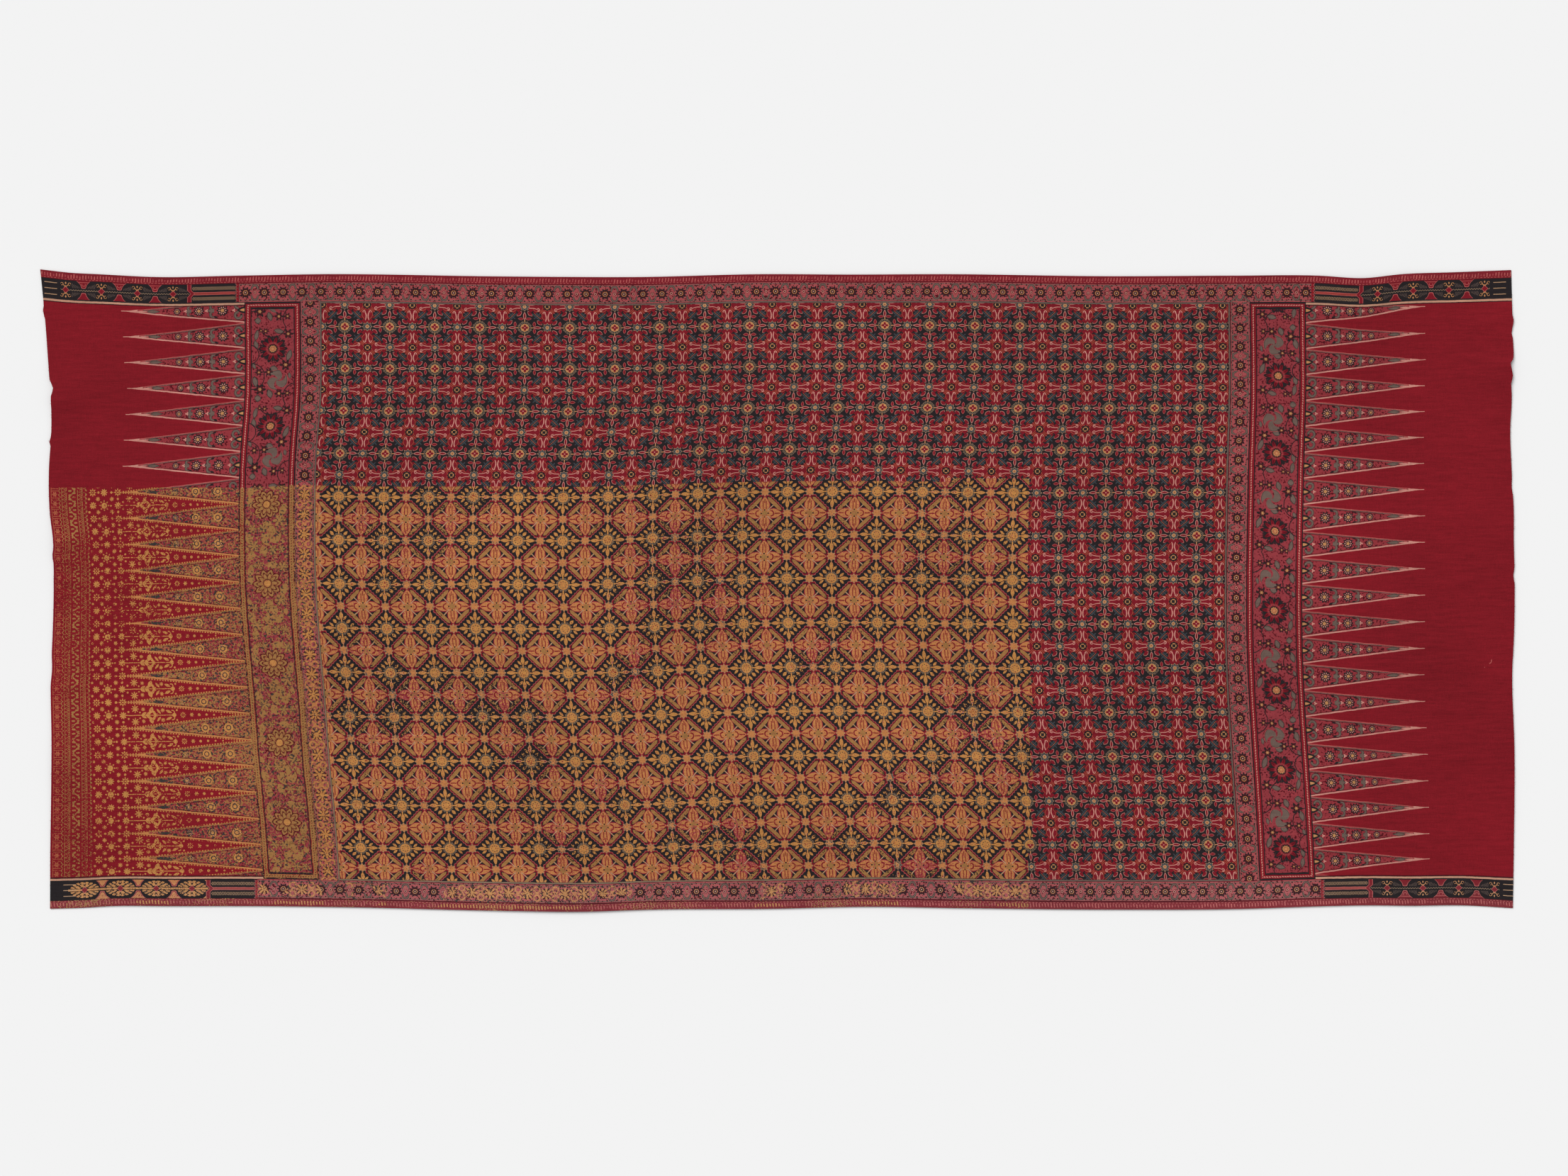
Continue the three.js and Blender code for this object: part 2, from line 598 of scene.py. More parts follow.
class Sketch:
    """One region's material: coordinates to draw in, and a colour that is painted over."""

    def __init__(self, name, ground, wobble):
        self.material = bpy.data.materials.new(name)
        self.material.use_nodes = True
        self.tree = self.material.node_tree
        self.tree.nodes.clear()
        self.ground = ground
        self.colour = None
        self.gilt = None
        self.cloth = self.node("ShaderNodeTexCoord").outputs["Object"]
        self.u, self.v = self.hand_drawn(wobble)

    def node(self, kind, inputs=(), **settings):
        """A node of a kind, with its inputs fed and its settings made."""
        node = self.tree.nodes.new(kind)
        for name, value in settings.items():
            setattr(node, name, value)
        for name, value in dict(inputs).items():
            feed(self.tree, node.inputs[name], value)
        return node

    def noise(self, scale, stretch=(1, 1, 1), detail=2.0, seed=0.0):
        """Cloudy numbers from 0 to 1 over the cloth, at a scale per metre."""
        inputs = {"Vector": self.cloth, "Location": (seed, seed * 0.7, 0), "Scale": stretch}
        mapping = self.node("ShaderNodeMapping", inputs)
        inputs = {"Vector": mapping.outputs[0], "Scale": scale, "Detail": detail}
        return Wire(self.tree, self.node("ShaderNodeTexNoise", inputs).outputs[0])

    def split(self, vector):
        """The first two parts of a vector."""
        parts = self.node("ShaderNodeSeparateXYZ", {0: vector})
        return Wire(self.tree, parts.outputs[0]), Wire(self.tree, parts.outputs[1])

    def hand_drawn(self, wobble):
        """The drawing coordinates, shifted a little to and fro as a hand does."""
        places = self.split(self.node("ShaderNodeUVMap", uv_map="Print").outputs["UV"])
        shifts = [self.noise(110, detail=3.0, seed=seed) for seed in (3.1, 7.7)]
        return [shift.times_plus(2 * wobble, at - wobble) for shift, at in zip(shifts, places)]

    def paint(self, where, name):
        """Covers the present colour with a dye wherever the mask is 1."""
        before = dye(self.ground) if self.colour is None else self.colour
        mix = self.node("ShaderNodeMix", {0: where, 6: before, 7: dye(name)}, data_type="RGBA")
        self.colour = mix.outputs[2]

    def gild(self, where, name="gold"):
        """Covers the present colour with gold wherever the mask is 1."""
        self.paint(where, name)
        self.gilt = where if self.gilt is None else self.gilt | where

    def wear(self, lost, blotched=0.3):
        """1 where the gold is left: it goes in broad blotches, in patches and in fine specks."""
        specks = self.noise(520, detail=2.0, seed=4.4)
        patches = self.noise(16, detail=4.0, seed=9.2)
        blotches = self.noise(5.5, detail=2.0, seed=1.7)
        left = specks.times_plus(0.65, patches.times_plus(0.3, blotches * blotched))
        return left > lost + blotched / 2 - 0.025

    def specks(self, sparse=0.61):
        """1 in small dark specks, where the print shows through the gold."""
        return self.noise(300, detail=1.0, seed=2.6) > sparse

    def fleck(self):
        """Rubs the gold down to rusty flecks."""
        flecks = self.noise(900, detail=2.0, seed=6.6) > 0.6
        self.paint(self.gilt & flecks, "rust")

    def petals(self, radius, angle, rings):
        """Rings of petals around one middle, painted from the outermost in."""
        for ring in rings:
            reach = ring.reach
            if ring.petals:
                reach = scalloped(angle, ring.petals, ring.swing, reach)
            self.paint(radius < reach, ring.dye)

    def layers(self, form, *steps, where=None):
        """Nested layers of one form: each step's dye, wherever the form is under its reach."""
        for reach, name in steps:
            inside = form < reach
            self.paint(inside if where is None else inside & where, name)

    def finish(self):
        """Adds the weave, the streaks, the fading and the shader."""
        clouds = {row.name: self.noise(*row[1:5]) for row in TONES}
        value = TONE_BASE
        for row in TONES:
            value = clouds[row.name].times_plus(row.share, value)
        _, y = self.split(self.cloth)
        low = y.times_plus(-1 / LOW_FADE["reach"], LOW_FADE["row"] / LOW_FADE["reach"])
        low = low.at_most(1.0).at_least(0.0)
        tone = self.node("ShaderNodeHueSaturation", {
            "Saturation": low.times_plus(LOW_FADE["saturation"], 1.0),
            "Value": low.times_plus(LOW_FADE["value"], value),
            "Color": self.colour,
        })
        bump = self.node("ShaderNodeBump", {
            "Strength": 0.3,
            "Distance": 0.0005,
            "Height": clouds["weft"] + clouds["warp"],
        })
        rough = clouds["fade"].times_plus(0.12, 0.8)
        shader = self.node("ShaderNodeBsdfPrincipled", {
            "Base Color": tone.outputs[0],
            "Normal": bump.outputs[0],
            "Roughness": rough if self.gilt is None else self.gilt.times_plus(-0.3, rough),
            "Specular IOR Level": 0.08,
            "Sheen Weight": 0.03,
            "Sheen Roughness": 0.5,
        })
        if self.gilt is not None:
            feed(self.tree, shader.inputs["Metallic"], self.gilt * 0.22)
        self.node("ShaderNodeOutputMaterial", {"Surface": shader.outputs[0]})
        return self.material


# The lattice is drawn in a square of this size around each rosette.
CELL = 62.0
HALF = CELL / 2

ROSETTE_RINGS = rings(
    (9.1, "khaki", 16, 0.3),
    (8.4, "ink", 16, 0.3),
    (5.8, "ochre", 8, 0.3),
    (3.6, "field_red", 4, 1.1),
    (0.9, "pale"),
)
STAR_RINGS = rings(
    (5.8, "straw", 8, 1.0),
    (5.2, "slate", 8, 0.9),
    (2.7, "straw", 8, 0.5),
    (1.9, "ochre"),
    (0.7, "field_red"),
)
HEART_RINGS = rings((5.5, "black", 8, 0.3))


def draw_red_diamond(sketch, out, side, level):
    """The plain red diamonds: lobes on the black, grey crossed strokes, and palmettes."""
    edge = out + side
    across = out - side
    inner = HALF - out
    sketch.paint(edge.near(32.6, 4.4) & (across < 14), "black")
    sketch.paint((across < 5.8) & edge.near(34.5, 8.2), "black")
    lobe = leaf(out, side, (20.6, 7.4), (4.8, 2.7), -43)
    sketch.paint((lobe < 1) & (edge < 30), "pale")
    sketch.paint(lobe < 0.8, "field_red")
    sketch.paint(edge.near(35.6, 1.0) & across.near(9.0, 2.6), "field_red")
    sketch.paint(edge.near(31.6, 1.1) & (across < 10), "slate")
    sketch.paint(edge.near(37.6, 0.8) & (across < 6.6), "slate")
    sketch.paint(across.near(3.8, 0.6) & edge.near(34.6, 4.8), "slate")
    sketch.paint((across < 1.0) & edge.near(34, 8.4), "slate")
    sketch.paint(edge.near(34.6, 0.4) & (across < 8), "rust")
    sketch.paint((across < 0.5) & edge.near(47, 5), "rust")
    bulb = oval(side, inner, (18.0, 0), (7.8, 7.6))
    sketch.layers(bulb, (1, "rust"), (0.86, "field_red"))
    sketch.paint((inner < 3.6) & side.near(11, 6), "field_red")
    drop = leaf(side, inner, (16.4, 3.2), (7.6, 2.6), 8) < 1
    bite = leaf(side, inner, (16.8, 4.7), (8.2, 2.6), 8) < 1
    curl = distance(side, inner, (21.6, 4.0)).near(1.6, 0.45) & (side > 20.4)
    sketch.paint(((drop & ~bite) | curl) & ~level, "pale")
    flare = (side - 10).at_least(0.0)
    stem = flare.times_plus(flare * 0.036, 2.2)
    hook = distance(side, inner, (18.6, 4.6)).near(2.0, 0.5) & (side > 17.5)
    sketch.paint(((inner.near(stem, 0.5) & side.near(13, 7)) | hook) & level, "pale")


def draw_gilded_diamond(sketch, out, side, level, worn):
    """The red diamonds under gold: bars along their edges and almond palmettes."""
    edge = out + side
    across = out - side
    inner = HALF - out
    scallop = (across * 0.9).cosine() * 0.7
    sketch.paint(edge.near(scallop + 30.4, 2.0) & (across < 21), "field_red")
    sketch.paint(edge.near(scallop + 28.6, 0.5) & (across < 21), "flesh")
    bar = leaf(across, edge, (0, 34.6), (20.0, 7.4))
    sketch.paint((bar < 1.2) & edge.near(35.4, 4.8), "black")
    sketch.gild((bar < 0.94) & edge.near(34.8, 3.4) & worn, "dark_gold")
    sketch.paint(edge.near(41.4, 2.0) & (across < 11), "black")
    almond = leaf(side, inner, (19, 0), (12.6, 7.7))
    sketch.layers(almond, (1, "field_red"), (0.92, "rose"))
    sketch.gild((almond < 0.84) & worn, "pink_gold")
    bracket = distance(side, inner, (22.6, 0)).near(4.0, 0.9) & (side < 23)
    sketch.paint((bracket | ((inner < 0.8) & side.near(13, 4))) & level, "field_red")
    forks = inner.near(2.1, 0.6) & side.near(19, 6)
    sketch.paint((forks | ((inner < 0.6) & side.near(13, 3))) & ~level, "field_red")
    sketch.paint((across < 1.0) & edge.near(46, 8), "straw")


def draw_field(sketch, gilded):
    """The lattice: black diamonds with a rosette, red diamonds with four palmettes."""
    a = (sketch.u * CELL).fold(HALF)
    b = (sketch.v * CELL).fold(HALF)
    out = a.at_least(b)
    side = a.at_most(b)
    inner = HALF - out
    sketch.paint((out + side) < 31.4, "black")
    level = a < b
    if gilded:
        worn = sketch.wear(0.41, blotched=0.45)
        draw_gilded_diamond(sketch, out, side, level, worn)
    else:
        draw_red_diamond(sketch, out, side, level)
    radius, angle = polar(a, b)
    gem = out.at_least((out + side) * 0.72)
    sketch.petals(gem, angle, ROSETTE_RINGS)
    sketch.paint(gem.near(7.2, 0.6) & ((angle * 16).cosine() > 0.1), "khaki")
    leaves = leaf(side, out, (5.2, 13.2), (4.0, 2.0))
    sketch.layers(leaves, (1, "flesh"), (0.7, "field_red"))
    buds = leaf(out, side, (17.4, 0), (5.8, 2.0))
    sketch.layers(buds, (1, "pale"), (0.64, "field_red"))
    sketch.paint((side < 0.6) & out.near(10.4, 1.6), "ochre")
    star, spin = polar(inner, side)
    sketch.petals(star, spin, STAR_RINGS)
    heart, turn = polar(inner, side - HALF)
    if gilded:
        flakes = leaf(out, side, (14.2, 4.8), (4.0, 1.7), 42) < 1
        flakes = flakes | (leaf(out, side, (9.4, 9.4), (3.8, 2.2), 45) < 1)
        sketch.paint(leaves < 1.1, "black")
        sketch.gild(((radius < 7.2) | (buds < 1.3) | flakes) & worn)
        sketch.paint(radius.near(4.2, 0.45) & ((angle * 8).cosine() > 0), "ink")
        sketch.gild((side < 0.9) & out.near(12, 4) & worn)
        sketch.gild((star < scalloped(spin, 8, 0.9, 5.0)) & worn, "pink_gold")
        sketch.paint(heart.near(4.9, 1.0) & ((turn * 4).cosine() > 0.6), "black")
        sketch.gild((heart < 4.0) & worn, "dark_gold")
        sketch.fleck()
    else:
        sketch.petals(heart, turn, HEART_RINGS)
        sketch.paint(heart.near(2.9, 0.7) & ((turn * 5).cosine() > 0.1), "ochre")
    draw_field_line(sketch, gilded)


def draw_field_line(sketch, gilded):
    """The grey line between dark ones that runs around the field."""
    middle_u = ((LEFT_FIELD + RIGHT_FIELD) / 2 - FIRST_COLUMN) / COLUMN_PITCH
    middle_v = (FIRST_ROW - (TOP_BAND + BOTTOM_BAND) / 2) / ROW_PITCH
    half_length = (RIGHT_FIELD - LEFT_FIELD) / 2
    half_height = (TOP_BAND - BOTTOM_BAND) / 2
    from_end = (sketch.u - middle_u).size().times_plus(-COLUMN_PITCH, half_length)
    from_side = (sketch.v - middle_v).size().times_plus(-ROW_PITCH, half_height)
    edge = from_end.at_most(from_side)
    sketch.paint(edge < 2.8, "black")
    sketch.paint(edge.near(1.35, 0.95), "khaki" if gilded else "grey")


def hatch(sketch, u, v, where, name="rose", sparse=0.6):
    """The fine dotted shading of a ground, with dark specks."""
    bias = ((u + v) * 3.9).sine() + ((u - v) * 2.9).sine()
    sketch.paint((bias > -0.3) & where, name)
    specks = sketch.noise(380, detail=1.0, seed=5.2) > sparse
    sketch.paint(specks & where, "dark_red")


BORDER_ROSETTE = rings(
    (7.4, "black", 11, 1.4),
    (4.9, "dark_red", 11, 1.0),
    (3.4, "ochre", 11, 0.5),
    (2.5, "black"),
    (1.0, "pale"),
)
BORDER_HALF = 13.6

# Where the upright borders meet the level ones, seen from the middle of a level border.
BORDER_MIDDLE = (LEFT_FRAME + RIGHT_FRAME) / 2 - FIRST_BORDER
MITRE = (RIGHT_FRAME - LEFT_FRAME - FRAME_WIDTH + RIGHT_FIELD - LEFT_FIELD - FRAME_WIDTH) / 4


def draw_mitres(sketch):
    """Grey lines that lead from the corners where two borders meet."""
    apart = ((sketch.u - BORDER_MIDDLE).size() - MITRE).size()
    line = (apart - sketch.v).size()
    inner = (sketch.v > 3.4) & (apart < 15)
    sketch.layers(line, (1.7, "ink"), (1.0, "grey"), where=inner)


def draw_floral(sketch, gilded):
    """The narrow border: rosettes by turns with paired grey scrolls."""
    along = sketch.u.fold(BORDER_PITCH / 2)
    across = sketch.v.size()
    hatch(sketch, sketch.u, sketch.v, across < BORDER_HALF, "pink", sparse=0.61)
    sketch.paint(across.near(BORDER_HALF - 2.0, 0.5), "grey")
    sketch.paint(sketch.v < 0.5 - BORDER_HALF, "dark_red")
    scroll = distance(along, across, (BORDER_PITCH / 2, 6.2))
    bow = (across > 5.4) | (along < 9.6)
    sketch.layers((scroll - 4.2).size(), (1.5, "ink"), (0.85, "grey"), where=bow)
    bloom = distance(along, sketch.v, (BORDER_PITCH / 2, 0))
    sketch.paint(bloom < 2.6, "dark_red")
    sketch.paint(bloom.near(1.5, 0.4), "pale")
    sketch.paint(distance(along, across, (6.6, 10.6)) < 1.1, "black")
    sketch.paint(distance(along, across, (0, 11.4)) < 0.9, "black")
    radius, angle = polar(along, sketch.v)
    sketch.petals(radius, angle, BORDER_ROSETTE)
    if gilded:
        patches = sketch.noise(15, detail=1.0, seed=6.1) > 0.5
        covered = sketch.wear(0.42) & (patches | (sketch.u < 0))
        spokes = (angle * 8).cosine()
        petal = radius < spokes.times_plus(2.0, 7.4)
        sketch.gild((scroll.near(4.2, 1.3) | (bloom < 2.6)) & covered, "pink_gold")
        sketch.gild(petal & covered)
        sketch.paint((spokes < -0.5) & radius.near(4.6, 1.6) & covered, "dark_red")
        sketch.gild(sketch.wear(0.6) & (across < BORDER_HALF - 1.2) & (radius > 8), "dark_gold")
        sketch.paint(sketch.specks() & covered, "ink")
        sketch.fleck()
    draw_mitres(sketch)


BLOSSOM_PITCH = 113.6
LEFT_BLOSSOM = 86.1
RIGHT_BLOSSOM = 109.6
BLOSSOM_PETALS = 10
BLOSSOM_RINGS = rings(
    (17.6, "black", 10, 3.4),
    (17.0, "black", 37, 3.0),
    (14.0, "dark_red", 10, 3.8),
    (13.0, "field_red", 10, 3.8),
)
BLOSSOM_EYE = rings(
    (6.8, "black", 20, 0.8),
    (4.8, "ochre", 10, 0.6),
    (3.4, "rust", 10, 0.5),
    (2.0, "ochre", 5, 0.5),
)
GILT_LINES = table(
    "reach swing thick",
    (18.4, 2.2, 1.0),
    (12.6, 2.6, 1.1),
    (5.6, 0.6, 0.8),
)

# One repeat of the panel's sprig, seen from its blossom's middle.
SPRIG_FLOWERS = table(
    "at size",
    ((-21, -66), 5.0),
    ((-9, -66), 6.4),
    ((18, -59), 8.0),
    ((6, -34), 6.0),
    ((20, -34), 5.6),
    ((-18, -24), 8.0),
    ((-22, 22), 7.0),
    ((10, 26), 4.6),
    ((17, 27), 3.6),
)

# The rings of a sprig's flower, in shares of its size.
SPRIG_RINGS = rings(
    (0.8, "black", 6, 0.26),
    (0.46, "dark_red", 6, 0.2),
    (0.24, "ochre", 6, 0.1),
)
SPRIG_LEAVES = table(
    "at size turn",
    ((4, -66), (7.0, 4.2), 70),
    ((21, -72), (5.0, 5.0), 0),
    ((25, -48), (8.4, 4.2), 75),
    ((-1, -29), (6.0, 4.4), 10),
    ((-23, -10), (9.6, 4.0), -71),
    ((24, 6), (7.0, 3.4), 75),
    ((23, 20), (8.4, 3.4), -80),
    ((-9, 26), (7.6, 3.8), 12),
    ((27, -25), (4.6, 2.6), 70),
    ((-24, -40), (5.0, 2.4), 80),
)
VINES = table(
    "at radius",
    ((31, -40), 19),
    ((0, 36), 19),
    ((-34, -70), 19),
    ((34, -8), 14),
)
WHORL = dict(x=-6, y=-46, radius=14.5, blades=3, twist=0.3)
SEAM = 32.0
FRAME_LINES = table(
    "at upright level",
    (0.7, 1.0, 1.8),
    (9.2, 0.75, 1.5),
)
ROPE_AT = 4.9


def draw_frame(sketch, gilded):
    """The panel's frame: a pale twist of slanted strokes between two dark lines."""
    height = TOP_BAND - BOTTOM_BAND
    from_end = height / 2 - (sketch.v - height / 2).size()
    from_side = FRAME_WIDTH / 2 - sketch.u.size()
    edge = from_end.at_most(from_side)
    level = from_end < from_side
    along = level.times_plus(sketch.u - sketch.v, sketch.v)
    twist = edge.times_plus(1.3, along * 1.7).sine()
    sketch.paint(edge < 9.4, "madder")
    for row in FRAME_LINES:
        line = edge.near(row.at, row.upright) | (edge.near(row.at, row.level) & level)
        sketch.paint(line, "black")
    if gilded:
        sketch.gild(sketch.wear(0.54) & (edge < 8), "dark_gold")
        sketch.gild(edge.near(ROPE_AT, 2.2) & sketch.wear(0.4), "dark_gold")
        sketch.paint(edge.near(ROPE_AT, 0.7) & (twist > 0.1), "dark_red")
    else:
        sketch.paint(edge.near(ROPE_AT, 0.8) & (twist > -0.4), "pale")


def draw_blossom(sketch, x, y):
    """The panel's great blossom, with dark lines between its petals."""
    radius, angle = polar(x, y)
    sketch.petals(radius, angle, BLOSSOM_RINGS)
    spoke = (angle * BLOSSOM_PETALS).cosine()
    sketch.paint((spoke < -0.86) & radius.near(13.5, 5), "black")
    sketch.paint((spoke > 0.86) & radius.near(13.6, 2.6), "dark_red")
    streaks = (angle * (3 * BLOSSOM_PETALS)).cosine() > 0.55
    sketch.paint(streaks & radius.near(8.4, 1.4), "flesh")
    sketch.petals(radius, angle, BLOSSOM_EYE)


def draw_gilded_blossom(sketch, x, y):
    """The blossom's petals, drawn in dark lines over the gold."""
    radius, angle = polar(x, y)
    spoke = (angle * BLOSSOM_PETALS).cosine()
    sketch.gild((radius < spoke.times_plus(2.2, 18.4)) & sketch.wear(0.36), "dark_gold")
    lines = (spoke < -0.88) & radius.near(11, 5)
    for row in GILT_LINES:
        lines = lines | radius.near(spoke.times_plus(row.swing, row.reach), row.thick)
    sketch.paint(lines, "dark_red")
    sketch.gild(radius < 4.6)


def pinwheel(x, y):
    """The whorl's distance from its middle, less how far its curling blades reach."""
    radius, turn = polar(x, y, (WHORL["x"], WHORL["y"]))
    blades = turn.times_plus(WHORL["blades"], radius * WHORL["twist"]).sine()
    return radius - blades.times_plus(40.0, 35.0).at_most(WHORL["radius"])


def draw_sprig(sketch, x, y):
    """Leaves, stems, small flowers and a leaf whorl around the blossom."""
    for row in SPRIG_LEAVES:
        sketch.layers(leaf(x, y, *row), (1, "ink"), (0.72, "grey"))
    for row in VINES:
        sketch.paint(distance(x, y, row.at).near(row.radius, 0.65), "black")
    sketch.layers(pinwheel(x, y), (0.8, "flesh"), (0.2, "ink"), (-0.6, "grey"))
    for row in SPRIG_FLOWERS:
        radius, angle = polar(x, y, row.at)
        sketch.petals(radius * (1 / row.size), angle, SPRIG_RINGS)


def draw_gilded_sprig(sketch, x, y):
    """The same sprig in gold, with gold tendrils over its ground."""
    worn = sketch.wear(0.38)
    tendrils = sketch.noise(150, detail=1.0, seed=8.1).near(0.5, 0.034)
    sketch.gild(tendrils & worn, "dark_gold")
    for row in SPRIG_LEAVES:
        long, wide = row.size
        form = leaf(x, y, row.at, (1.1 * long, 1.3 * wide), row.turn)
        sketch.gild((form < 1) & worn, "dark_gold")
    whorl = pinwheel(x, y)
    sketch.paint(whorl < 0.6, "dark_red")
    sketch.gild((whorl < 0) & worn, "dark_gold")
    for row in SPRIG_FLOWERS:
        radius, angle = polar(x, y, row.at)
        points = (angle * 6).cosine()
        petals = points.times_plus(0.3 * row.size, 0.9 * row.size)
        sketch.paint(radius.near(petals, 0.6), "dark_red")
        sketch.gild((radius < petals) & worn, "dark_gold")
        sketch.paint((points < -0.6) & radius.near(0.5 * row.size, 0.2 * row.size), "ink")
    sketch.paint(sketch.specks(), "ink")


def draw_panel(sketch, gilded):
    """The tall panel: blossoms and leaf whorls on thin stems, in a roped frame."""
    x = sketch.u
    cloth_x, _ = sketch.split(sketch.cloth)
    first = (cloth_x > 0).times_plus(RIGHT_BLOSSOM - LEFT_BLOSSOM, LEFT_BLOSSOM)
    y = (sketch.v - first).wrap(SEAM - BLOSSOM_PITCH, SEAM)
    hatch(sketch, sketch.u, sketch.v, x.size() < FRAME_WIDTH)
    if gilded:
        draw_gilded_sprig(sketch, x, y)
        draw_gilded_blossom(sketch, x, y)
    else:
        draw_sprig(sketch, x, y)
        draw_blossom(sketch, x, y)
    draw_frame(sketch, gilded)
    if gilded:
        sketch.fleck()


TOOTH_ROSETTES = table(
    "at size",
    (32.4, 8.3),
    (67.0, 7.7),
    (98.9, 5.6),
)
TOOTH_BRACKETS = table(
    "at size spread",
    (45.5, 4.5, 5.6),
    (79.0, 3.7, 4.4),
)
TOOTH_BUDS = [15.5, 55.5, 86.5]
VALLEY = TOOTH_PITCH / 2

# Gold stamps of the end: places from the cut end and from the nearest tooth's middle.
STAMPS = table(
    "at size petals notch eye",
    ((68, 0), 6.5, 8, 0.24, 1),
    ((68, VALLEY), 6.2, 9, 0.2),
    ((85.5, 0), 6.2, 9, 0.2),
    ((85.5, VALLEY), 9.0, 8, 0.26, 2),
    ((107, 0), 6.6, 8, 0.24, 1),
    ((107, VALLEY), 6.2, 9, 0.2),
    ((76, 9.5), 3.9, 8, 0.24),
    ((97.5, 9.5), 3.9, 8, 0.24),
    ((125, 9.6), 6.6, 8, 0.3),
    ((137, 10.4), 3.4, 8, 0.24),
    ((155, VALLEY), 4.4, 8, 0.3),
    ((166, VALLEY - 7), 3.6, 8, 0.24),
    ((196, VALLEY), 5.0, 8, 0.22, 1),
    ((209, VALLEY), 3.6, 6, 0.24),
)
STAMP_DOTS = table(
    "at size",
    ((62, 9.5), 2.0),
    ((77, 0), 1.9),
    ((97, 0), 2.0),
    ((96, VALLEY), 1.8),
    ((107, 9.5), 2.0),
    ((115, VALLEY - 5), 1.7),
    ((132, VALLEY - 4), 1.4),
    ((183, VALLEY), 3.4),
    ((187, VALLEY - 7), 1.6),
    ((220, VALLEY), 2.3),
    ((231, VALLEY), 2.0),
    ((242, VALLEY), 1.6),
    ((253, VALLEY), 1.3),
)

# The gold sprigs between the teeth: places from the cut end and from the valley's middle.
VALLEY_LEAVES = table(
    "at size turn",
    ((138, 2.0), (4.4, 1.9), 30),
    ((145, 2.4), (5.0, 2.0), 32),
    ((149, 7.2), (5.4, 3.2), 70),
    ((153, 4.0), (4.6, 1.8), -62),
    ((160, 5.6), (4.6, 1.6), -50),
    ((175, 5.0), (5.0, 2.0), -24),
)
STAMP_SCALE = 0.9
STRIP_LINES = [20, 27.2, 44.4, 51.6]
STRIP_ZIGZAGS = [20.8, 45.2]
STRIP_VINE = dict(at=35.8, swing=4.2, pace=0.34)
SQUARE_PITCH = 13.4


def draw_gold_stamps(sketch, out, side, margin, worn):
    """Gold stamps in rows, and sprigs between the teeth."""
    end = END_DEPTH - out
    valley = VALLEY - side
    gold = ((out * 1.55).sine() > -0.1) & margin.near(1.1, 0.9)
    for row in STAMPS:
        radius, angle = polar(end, side, row.at)
        size = STAMP_SCALE * row.size
        swing = row.notch * size
        flower = radius < scalloped(angle, row.petals, swing, size - swing)
        if row.eye:
            flower = flower & ~radius.near(0.28 * row.eye * row.size, 0.65)
        gold = gold | flower
    for row in STAMP_DOTS:
        gold = gold | (distance(end, side, row.at) < STAMP_SCALE * row.size)
    for row in VALLEY_LEAVES:
        gold = gold | (leaf(end, valley, *row) < 1)
    gold = gold | ((valley < 0.6) & end.near(147, 36))
    hook = distance(end, valley, (180, 3.6)).near(3.4, 0.7) & (end > 179)
    sketch.gild((gold | hook) & (margin > 0) & worn)


def draw_gold_strips(sketch, out):
    """Gold lines, zigzags, a vine and scallops along the cut end, and faint squares."""
    end = END_DEPTH - out
    down = sketch.v * TOOTH_PITCH
    points = down.fold(2.7) * 2.1
    scallop = (down * 0.52).sine().size()
    gold = end.near(scallop.times_plus(3.0, 54.6), 1.3) & ~end.near(55.6, 0.5)
    gold = gold | end.near(scallop.times_plus(-2.6, 18.0), 0.7)
    for at in STRIP_LINES:
        gold = gold | end.near(at, 0.45)
    for at in STRIP_ZIGZAGS:
        gold = gold | end.near(points + at, 0.8)
        gold = gold | ((points < 1.6) & end.near(at + 4.6, 0.7))
    vine = end - STRIP_VINE["at"]
    stem = (down * STRIP_VINE["pace"]).sine() * STRIP_VINE["swing"]
    gold = gold | vine.near(stem, 1.5)
    leaves = (down * STRIP_VINE["pace"] * 3).sine() * (vine * 0.52).sine()
    gold = gold | ((leaves > 0.2) & vine.near(0, 6.6))
    sketch.gild(gold & sketch.wear(0.47), "dark_gold")
    cell = down.fold(SQUARE_PITCH / 2)
    radius, angle = polar(end, cell, (9, 0))
    faint = radius < scalloped(angle, 6, 0.9, 3.4)
    faint = faint | ((cell.near(5.2, 0.5) | end.near(3.6, 0.5)) & end.near(9, 6))
    sketch.gild(faint & sketch.wear(0.47), "rust")


def draw_tooth_scrolls(sketch, out, side, inside):
    """Grey scrolls, brackets and leaves along a tooth."""
    scroll = distance(out, side, (9.0, 7.6))
    open_end = (out > 8.5) | (side > 7.4)
    curled = open_end & inside
    sketch.layers((scroll - 4.8).size(), (2.1, "ink"), (1.3, "grey"), where=curled)
    sketch.paint(distance(out, side, (4.8, 6.6)) < 1.5, "black")
    for row in TOOTH_BRACKETS:
        bow = distance(out, side, (row.at, row.spread))
        cusp = leaf(out, side, (row.at + 5.0, 0), (3.4, 2.4))
        arm = out > row.at - 1.0
        sketch.paint(((bow.near(row.size, 2.0) & arm) | (cusp < 1.3)) & inside, "ink")
        sketch.paint(((bow.near(row.size, 1.3) & arm) | (cusp < 0.8)) & inside, "grey")
        hook = leaf(out, side, (row.at - 3.5, 1.75 * row.spread), (3.4, 1.6), -25)
        sketch.paint((hook < 1) & inside, "black")
    for at in TOOTH_BUDS:
        radius, angle = polar(out, side, (at, 0))
        sketch.paint(radius < scalloped(angle, 3, 0.9, 1.9), "pale")
    sketch.layers(leaf(out, side, (0, 0), (11.0, 4.8)), (1, "black"), (0.42, "ochre"))
    sketch.layers(leaf(out, side, (134, 0), (10.5, 2.4)), (1, "ink"), (0.7, "grey"))
    sketch.paint(leaf(out, side, (150, 0), (8.0, 0.9)) < 1, "pale")


